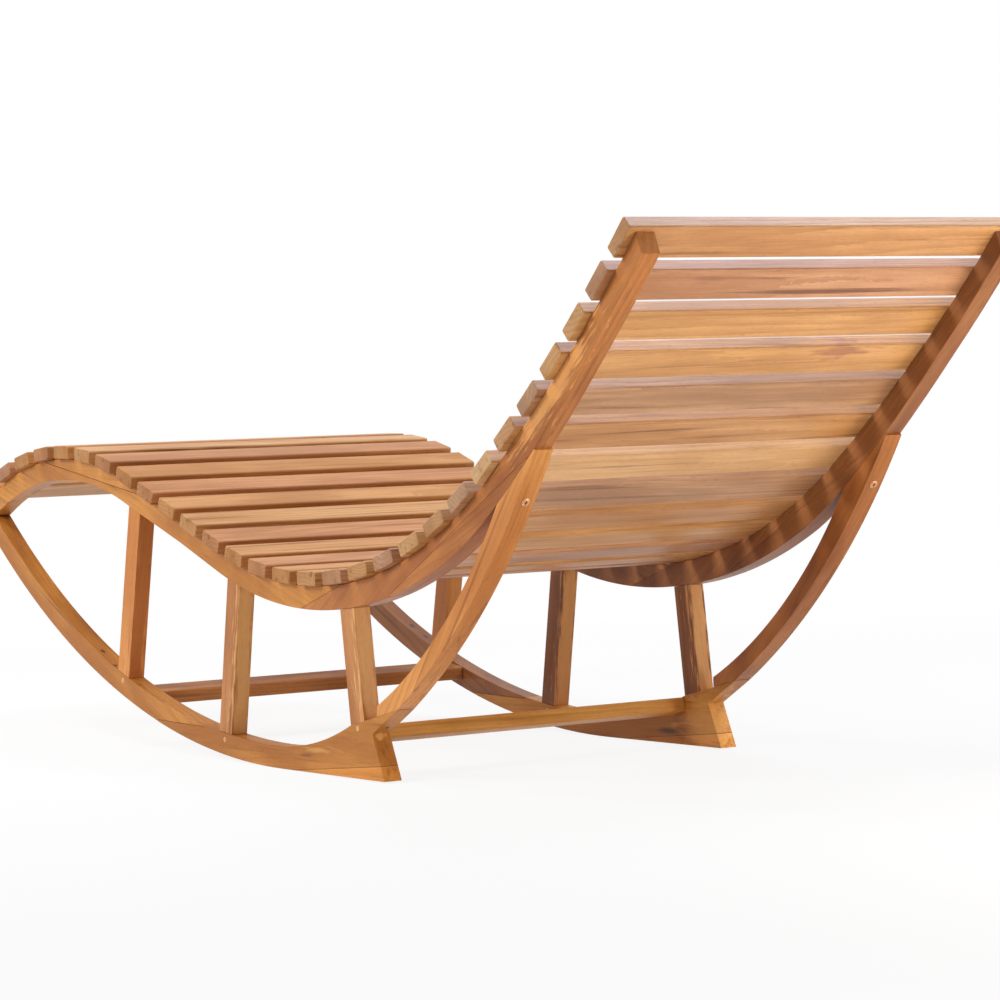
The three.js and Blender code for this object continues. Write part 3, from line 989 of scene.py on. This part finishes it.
@dataclass
class SideFrame:
    """One side of the lounge: its built-up rail, runner, foot, brace and three uprights.

    Attributes:
        side: The side's ending in the names of its nodes.
        edges: The sanding of their edges.
        cuts: How each of its boards is cut.
    """

    side: str
    edges: EasedEdges

    # Dark marks and paler patches of each board. Two are painted light: the pale patch on the left back rail
    # and the large one on the right foot.
    MARKS_AND_PAINTED_LIGHT = {
        "runner_left": (
            Mark(Vector((0.280, -0.523, 0.1355)), 6 * MM),
            Mark(Vector((0.284, -0.473, 0.1190)), 5 * MM),
        ),
        "runner_right": (
            Mark(Vector((-0.275, -0.532, 0.1398)), 6 * MM),
            Mark(Vector((-0.275, -0.491, 0.1238)), 5 * MM),
        ),
        "upright_rear_left": (Mark(Vector((0.276, 0.2346, 0.0953)), 4 * MM),),
        "foot_left": (
            Mark(Vector((0.275, 0.2906, 0.0735)), 4 * MM),
            Mark(Vector((0.277, 0.2771, 0.0607)), 9 * MM, "#d9a560", 1.2),
            Mark(Vector((0.289, 0.1310, 0.0330)), 5 * MM, "#d39a52", 9.0, 0.2),
            Mark(Vector((0.289, 0.1000, 0.0240)), 4 * MM, "#8f5624", 8.0, 0.2),
        ),
        "foot_right": (
            # Painted light: a large pale patch over the foot's inner face, which the lamps leave in shade
            Mark(Vector((-0.262, 0.2670, 0.0340)), 70 * MM, "#f2b468", 1.6, 0.1),
            Mark(Vector((-0.262, 0.1780, 0.0190)), 7 * MM, "#5d3520", 5.0, 0.2),
        ),
        # Painted light: a pale patch on the rail's outer face under the slat ends, which shade it
        "rail_back_left": (Mark(Vector((0.2865, 0.715, 0.505)), 22 * MM, "#e3a05c", 6.5, 0.5),),
    }
    SOLE_STRIP = Seam(
        point=Vector((0, 0.135, 0.0074)), normal=Vector((0, -0.0937, 0.9956)), width=0.7 * MM, lift=1.3
    )

    # Painted light and shade down the rear edges of the uprights: paler where light falls on their rear
    # faces, darker and redder on the front upright, whose rear face the seat shades
    REAR_LIGHT_AND_SHADE = {
        "upright_front_left": "#b96d33",
        "upright_middle_left": "#dca668",
        "upright_rear_left": "#e6ad6c",
        "upright_middle_right": "#cf9155",
        "upright_rear_right": "#e9ad6e",
    }
    REAR_LIGHT_RADIUS = 18 * MM
    REAR_LIGHT_STRETCH = 18
    REAR_LIGHT_CORE = 0.5
    UPRIGHT_WIDTH = 35.5 * MM

    # What a board's wood is drawn from: degrees that its grain runs off its length, millimetres from the
    # log's heart and between rings, and strengths
    TILT = 1.5
    THROUGH = (40, 120)
    ACROSS = 50
    RING = (6.0, 11.0)
    CONTRAST = (0.25, 0.5)
    VEINS = (0.3, 0.6)
    GLOSS = 0.2

    # The same for the pins, which are cut from a thin branch
    PIN_THROUGH = (8, 20)
    PIN_ACROSS = 20
    PIN_RING = 3.0
    PIN_EASING = 0.5 * MM

    # Most boards of the right side are drawn in darker tones: painted shade, because the faces of them that
    # are seen lie under the seat in its shade
    RIGHT_SHADED_TONES = {
        "rail_back": Tone.SEPIA_SHADED,
        "rail_hip": Tone.SEPIA_SHADED,
        "rail_seat": Tone.SEPIA_SHADED,
        "runner": Tone.SEPIA_SHADED,
        "brace": Tone.RUSSET,
        "upright_middle": Tone.SEPIA_SHADED,
        "upright_rear": Tone.SEPIA_SHADED,
    }

    cuts: tuple[BoardCut, ...] = (
        BoardCut("rail_back", 38, Tone.RUSSET),
        BoardCut("rail_hip", 24, Tone.RUSSET),
        BoardCut("rail_seat", -16, Tone.COPPER),
        BoardCut("rail_knee", -4, Tone.COPPER),
        BoardCut("runner", -26, Tone.COPPER),
        # Its sawn ends are drawn paler than its wood: painted light on the heel's back face, which the lamps
        # leave in shade
        BoardCut("foot", 1, Tone.COPPER, end=1.25),
        BoardCut("brace", 52, Tone.AMBER),
        BoardCut("upright_front", 77.9, Tone.AMBER),
        BoardCut("upright_middle", 80.1, Tone.UMBER),
        BoardCut("upright_rear", 96.9, Tone.UMBER),
    )

    def build(self) -> int:
        """Dress every board, pin and screw of the side.

        Returns:
            The number of pieces.
        """
        for cut in self.cuts:
            self._dress_board(cut)
        pins = [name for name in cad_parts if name.startswith("pin_") and name.endswith(self.side)]
        for name in pins:
            self._dress_pin(name)
        BraceScrew(f"brace_screw_{self.side}").build()
        return len(self.cuts) + len(pins) + 1

    def _dress_board(self, cut: BoardCut) -> None:
        """Give one board its wood and its eased edges.

        Args:
            cut: How the board is cut.
        """
        name = f"{cut.board}_{self.side}"
        draw = random.Random(name)
        slope = math.radians(cut.grain)
        tilt = math.radians(draw.uniform(-self.TILT, self.TILT))
        turn = Euler((-slope, 0, -math.pi / 2 + tilt))
        along = draw.uniform(-TRUNK_REACH, TRUNK_REACH)
        through = draw.uniform(*self.THROUGH)
        across = draw.uniform(-self.ACROSS, self.ACROSS)
        middle = middle_of(name)
        marks = self.MARKS_AND_PAINTED_LIGHT.get(name, ())
        # Painted light and shade on the upright's rear edge
        if name in self.REAR_LIGHT_AND_SHADE:
            rearward = Vector((0, math.sin(slope), -math.cos(slope)))
            edge = middle + self.UPRIGHT_WIDTH / 2 * rearward
            rear_light = Mark(
                edge, self.REAR_LIGHT_RADIUS, self.REAR_LIGHT_AND_SHADE[name], self.REAR_LIGHT_STRETCH, self.REAR_LIGHT_CORE
            )
            marks += (rear_light,)
        wood = OiledTeak(
            # The right side's darker tones are painted shade
            tone=self.RIGHT_SHADED_TONES.get(cut.board, cut.tone) if self.side == "right" else cut.tone,
            lay=GrainLay(middle, turn, Vector((along, through, across))),
            ring=draw.uniform(*self.RING),
            contrast=draw.uniform(*self.CONTRAST),
            veins=draw.uniform(*self.VEINS),
            gloss=self.GLOSS,
            end=cut.end,
            marks=marks,
            seam=self.SOLE_STRIP if cut.board == "foot" else None,
        )
        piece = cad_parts[name]
        wear(piece, wood.material(f"oiled_teak_{name}"))
        self.edges.sand(piece, cut.easing)

    def _dress_pin(self, name: str) -> None:
        """Give one wooden pin its end grain.

        Args:
            name: The pin's node.
        """
        draw = random.Random(name)
        along = draw.uniform(-TRUNK_REACH, TRUNK_REACH)
        through = draw.uniform(*self.PIN_THROUGH)
        across = draw.uniform(-self.PIN_ACROSS, self.PIN_ACROSS)
        lay = GrainLay(middle_of(name), Euler((0, 0, 0)), Vector((along, through, across)))
        wood = OiledTeak(tone=Tone.PALE, lay=lay, ring=self.PIN_RING)
        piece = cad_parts[name]
        wear(piece, wood.material(f"oiled_teak_{name}"))
        self.edges.sand(piece, self.PIN_EASING)


@dataclass
class BraceScrew:
    """A pan-headed brass screw with a cross recess, driven into the rear edge of a brace.

    Attributes:
        node: The CAD screw that it stands for.
        head: Radius of the head, in metres.
        rise: Height of the head, in metres.
        arm: Length of each arm of the cross, in metres.
        slot: Half the width of an arm, in metres.
        depth: How deep the cross is cut, in metres.
        shank: Radius of the shank, in metres.
    """

    node: str
    head: float = 5.8 * MM
    rise: float = 2.2 * MM
    arm: float = 3.1 * MM
    slot: float = 0.8 * MM
    depth: float = 1.6 * MM
    shank: float = 2.2 * MM

    # The dome is an arc between these two angles, and the cross is cut into the flat on top of it
    DOME_RIM = math.radians(20)
    DOME_TOP = math.radians(55)
    DOME_STEPS = 5
    SHARP = math.radians(40)
    SEATING = 0.02 * MM  # how far the head's underside stands off the brace
    TIP = 0.3  # radius of the tip, as a share of the shank's
    TAPER = 0.93  # share of the length at which the shank starts to narrow
    CROSS_FLOOR = 0.8  # size of the cross at its bottom, as a share of its size at the top
    TINY = 1e-9  # keeps a division off nought

    def build(self) -> None:
        """Turn the screw, cut its cross and set it where the CAD screw is."""
        tip, seat = self._axis()
        out = (seat - tip).normalized()
        level = Vector((1, 0, 0))
        across = out.cross(level)
        turns = self._turns()
        corners = []
        for radius, height in self._profile((seat - tip).length):
            for turn in turns:
                reach = self._cross(turn) * radius if radius < 0 else radius
                side = abs(reach) * (math.cos(turn) * level + math.sin(turn) * across)
                corners.append(seat + side + height * out)
        count = len(turns)
        rings = len(corners) // count
        faces = []
        for ring in range(rings - 1):
            for step in range(count):
                here = ring * count + step
                beside = ring * count + (step + 1) % count
                faces.append((here, beside, beside + count, here + count))
        faces += [tuple(reversed(range(count))), tuple(range((rings - 1) * count, rings * count))]
        mesh = bpy.data.meshes.new(f"{self.node}_turned")
        mesh.from_pydata(corners, [], faces)
        mesh.shade_smooth()
        mesh.set_sharp_from_angle(angle=self.SHARP)
        piece = bpy.data.objects.new(f"{self.node}_turned", mesh)
        bpy.context.scene.collection.objects.link(piece)
        wear(piece, TurnedBrass(centre=seat, axis=out).material(f"turned_brass_{self.node}"))
        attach(piece, "root")
        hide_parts(self.node)

    def _axis(self) -> tuple[Vector, Vector]:
        """Find the CAD screw's axis.

        Returns:
            Its tip, and the middle of its head's face.
        """
        points = [corner.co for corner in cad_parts[self.node].data.vertices]
        low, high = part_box(self.node)
        middle = (low.y + high.y) / 2
        rear = [point for point in points if point.y > middle]
        front = [point for point in points if point.y <= middle]
        rear_mean, front_mean = (sum(part, Vector()) / len(part) for part in (rear, front))
        out = (rear_mean - front_mean).normalized()
        reaches = [(point - rear_mean).dot(out) for point in points]
        return rear_mean + min(reaches) * out, rear_mean + max(reaches) * out

    def _turns(self) -> list[float]:
        """Place the corners of the screw's rings, the corners of the cross among them.

        Returns:
            The angles round the screw, in radians.
        """
        corner = math.atan2(self.slot, self.arm)
        eighth = math.pi / 4
        first = (0.0, corner / 2, corner, (corner + eighth) / 2, eighth)
        quarter = first + tuple(2 * eighth - turn for turn in reversed(first[1:-1]))
        return [turn + side * math.pi / 2 for side in range(4) for turn in quarter]

    def _cross(self, turn: float) -> float:
        """Measure the cross from its middle to its outline at an angle, in metres."""
        level, upright = abs(math.cos(turn)) + self.TINY, abs(math.sin(turn)) + self.TINY
        return max(min(self.arm / level, self.slot / upright), min(self.arm / upright, self.slot / level))

    def _profile(self, length: float) -> list[tuple[float, float]]:
        """List the screw's rings from its tip to the bottom of the cross.

        Args:
            length: The length of the screw under its head, in metres.

        Returns:
            For each ring its radius, or less than 0 for a share of the cross, and its height.
        """
        rings = [
            (self.TIP * self.shank, -length),
            (self.shank, -self.TAPER * length),
            (self.shank, self.SEATING),
            (self.head, self.SEATING),
        ]
        for step in range(self.DOME_STEPS + 1):
            angle = self.DOME_RIM + (self.DOME_TOP - self.DOME_RIM) * step / self.DOME_STEPS
            radius = self.head * math.cos(angle) / math.cos(self.DOME_RIM)
            rings.append((radius, self.rise * math.sin(angle)))
        top = self.rise * math.sin(self.DOME_TOP)
        return rings + [(-1.0, top), (-self.CROSS_FLOOR, top - self.depth)]


@dataclass
class Stretchers:
    """The two boards that tie the side frames together.

    Attributes:
        edges: The sanding of their edges.
        tones: The shade of each, by name.
    """

    edges: EasedEdges
    # The rear stretcher's pale gold is painted light, as it lies in the shade of the back
    tones: tuple[tuple[str, Tone], ...] = (("stretcher_front", Tone.UMBER), ("stretcher_rear", Tone.PAINTED_LIGHT_GOLD))

    # Degrees that the grain runs off a stretcher's length, millimetres from the log's heart, and strengths
    TILT = 1.0
    TWIST = -0.8
    THROUGH = 40
    ACROSS = (40, 90)
    CONTRAST = 0.4
    VEINS = 0.4
    GLOSS = 0.1

    def build(self) -> int:
        """Dress both stretchers.

        Returns:
            The number of stretchers.
        """
        turn = Euler((0, math.radians(self.TILT), math.radians(self.TWIST)))
        for name, tone in self.tones:
            draw = random.Random(name)
            along = draw.uniform(-TRUNK_REACH, TRUNK_REACH)
            through = draw.uniform(-self.THROUGH, self.THROUGH)
            across = draw.uniform(*self.ACROSS)
            wood = OiledTeak(
                tone=tone,
                lay=GrainLay(middle_of(name), turn, Vector((along, through, across))),
                contrast=self.CONTRAST,
                veins=self.VEINS,
                gloss=self.GLOSS,
            )
            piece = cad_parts[name]
            wear(piece, wood.material(f"oiled_teak_{name}"))
            self.edges.sand(piece, 0)
        return len(self.tones)


@dataclass(frozen=True)
class Softbox:
    """A square lamp behind a diffusing sheet, with or without a grid that narrows its beam.

    Attributes:
        name: The lamp's name.
        place: Where it hangs, in metres.
        target: The point that it faces.
        size: The length of its side, in metres.
        power: Its power, in watts.
        colour: The sRGB colour of its light.
        beam: The angle of its beam, in degrees.
    """

    name: str
    place: Vector
    target: Vector
    size: float
    power: float
    colour: str = "#ffffff"
    beam: float = 180.0

    def build(self) -> None:
        """Hang the lamp."""
        lamp = bpy.data.lights.new(self.name, "AREA")
        lamp.size = self.size
        lamp.energy = self.power
        lamp.color = linear(self.colour)[:3]
        lamp.spread = math.radians(self.beam)
        hung = bpy.data.objects.new(self.name, lamp)
        hung.location = self.place
        hung.rotation_euler = (self.target - self.place).to_track_quat("-Z", "Y").to_euler()
        hung.visible_camera = False
        bpy.context.scene.collection.objects.link(hung)


@dataclass
class Studio:
    """The camera, the lamps, the white floor and the world round the lounge.

    Attributes:
        camera_place: Where the camera stands, in metres.
        heading: How far it is turned from facing the feet end, in degrees.
        dip: How far it looks down, in degrees.
        roll: Its roll, in degrees.
        focal_pixels: Its focal length, in pixels of the photograph.
        frame_pixels: The photograph's width, in pixels.
        sensor: The sensor's width, in millimetres.
        floor_reach: Half the floor's side, in metres.
        ambient: The strength of the world's light.
    """

    camera_place: Vector = Vector((2.6798, 4.2693, 0.5186))
    heading: float = 33.095
    dip: float = 1.851
    roll: float = -1.700
    focal_pixels: float = 3532.2
    frame_pixels: float = 1000.0
    sensor: float = 36.0
    floor_reach: float = 12.0
    ambient: float = 0.24

    COOL = "#e6edff"
    WARM = "#fff2df"
    BEHIND = Vector((-0.5, 2.1, 0))  # the spot on the floor that the gridded lamp lights from above
    GRID_HEIGHT = Vector((0, 0, 1.1))
    FLOOR_GAP = 0.1 * MM  # how far the floor lies under the runners, so that the two faces don't meet

    def build(self) -> None:
        """Set up the studio."""
        self._camera()
        self._floor()
        self._world()
        middle = (CAD_LOW + CAD_HIGH) / 2
        over = self.BEHIND + self.GRID_HEIGHT
        for lamp in (
            Softbox("key_softbox", Vector((1.5, -1.3, 3.0)), middle, size=0.8, power=40),
            Softbox("overhead_softbox", Vector((-1.4, 0.5, 3.1)), middle, 1.6, 64, self.COOL),
            Softbox("side_softbox", Vector((3.0, -0.3, 1.9)), middle, size=1.3, power=59),
            Softbox("low_softbox", Vector((-1.2, 2.9, 0.24)), middle, 0.42, 14.5, self.WARM),
            Softbox("gridded_softbox", over, self.BEHIND, 1.0, 24, self.WARM, beam=90),
        ):
            lamp.build()
        bpy.context.scene.view_settings.view_transform = "Standard"

    def _camera(self) -> None:
        """Stand the camera where the photograph's camera stood."""
        heading, dip, roll = (math.radians(angle) for angle in (self.heading, self.dip, self.roll))
        forward = Vector(
            (-math.sin(heading) * math.cos(dip), -math.cos(heading) * math.cos(dip), -math.sin(dip))
        )
        right = forward.cross(Vector((0, 0, 1))).normalized()
        up = right.cross(forward)
        rolled_right = math.cos(roll) * right + math.sin(roll) * up
        rolled_up = math.cos(roll) * up - math.sin(roll) * right
        lens = bpy.data.cameras.new("camera")
        lens.sensor_width = self.sensor
        lens.lens = self.focal_pixels * self.sensor / self.frame_pixels
        camera = bpy.data.objects.new("camera", lens)
        aim = Matrix((rolled_right, rolled_up, -forward)).transposed()
        camera.matrix_world = Matrix.Translation(self.camera_place) @ aim.to_4x4()
        bpy.context.scene.collection.objects.link(camera)
        bpy.context.scene.camera = camera

    def _floor(self) -> None:
        """Lay the floor under the runners."""
        reach = self.floor_reach
        corners = [(-reach, -reach, 0), (reach, -reach, 0), (reach, reach, 0), (-reach, reach, 0)]
        mesh = bpy.data.meshes.new("studio_floor")
        mesh.from_pydata(corners, [], [(0, 1, 2, 3)])
        floor = bpy.data.objects.new("studio_floor", mesh)
        floor.location.z = CAD_LOW.z - self.FLOOR_GAP
        bpy.context.scene.collection.objects.link(floor)
        wear(floor, PaintedCove().material("matt_white_floor_paint"))

    def _world(self) -> None:
        """Make the world pale light, and plain white where it is seen."""
        world = bpy.data.worlds.new("white_studio")
        world.use_nodes = True
        tree = world.node_tree
        tree.nodes.clear()
        strength = add_node(
            tree, "ShaderNodeMapRange", {}, {"Value": seen(tree), "To Min": self.ambient, "To Max": 1.0}
        )
        sky = add_node(
            tree, "ShaderNodeBackground", {}, {"Color": (1, 1, 1, 1), "Strength": strength.outputs[0]}
        )
        add_node(tree, "ShaderNodeOutputWorld", {}, {"Surface": sky.outputs[0]})
        bpy.context.scene.world = world


def main() -> None:
    """Build the studio and dress the lounge, piece by piece."""
    logging.basicConfig(level=logging.INFO, format="%(name)s: %(message)s")
    Studio().build()
    log.info("studio set up")
    edges = EasedEdges()
    log.info("%d slats dressed", SlatDeck(edges).build())
    for side in ("left", "right"):
        log.info("%d pieces of the %s side frame dressed", SideFrame(side, edges).build(), side)
    log.info("%d stretchers dressed", Stretchers(edges).build())


if __name__ == "__main__":
    main()
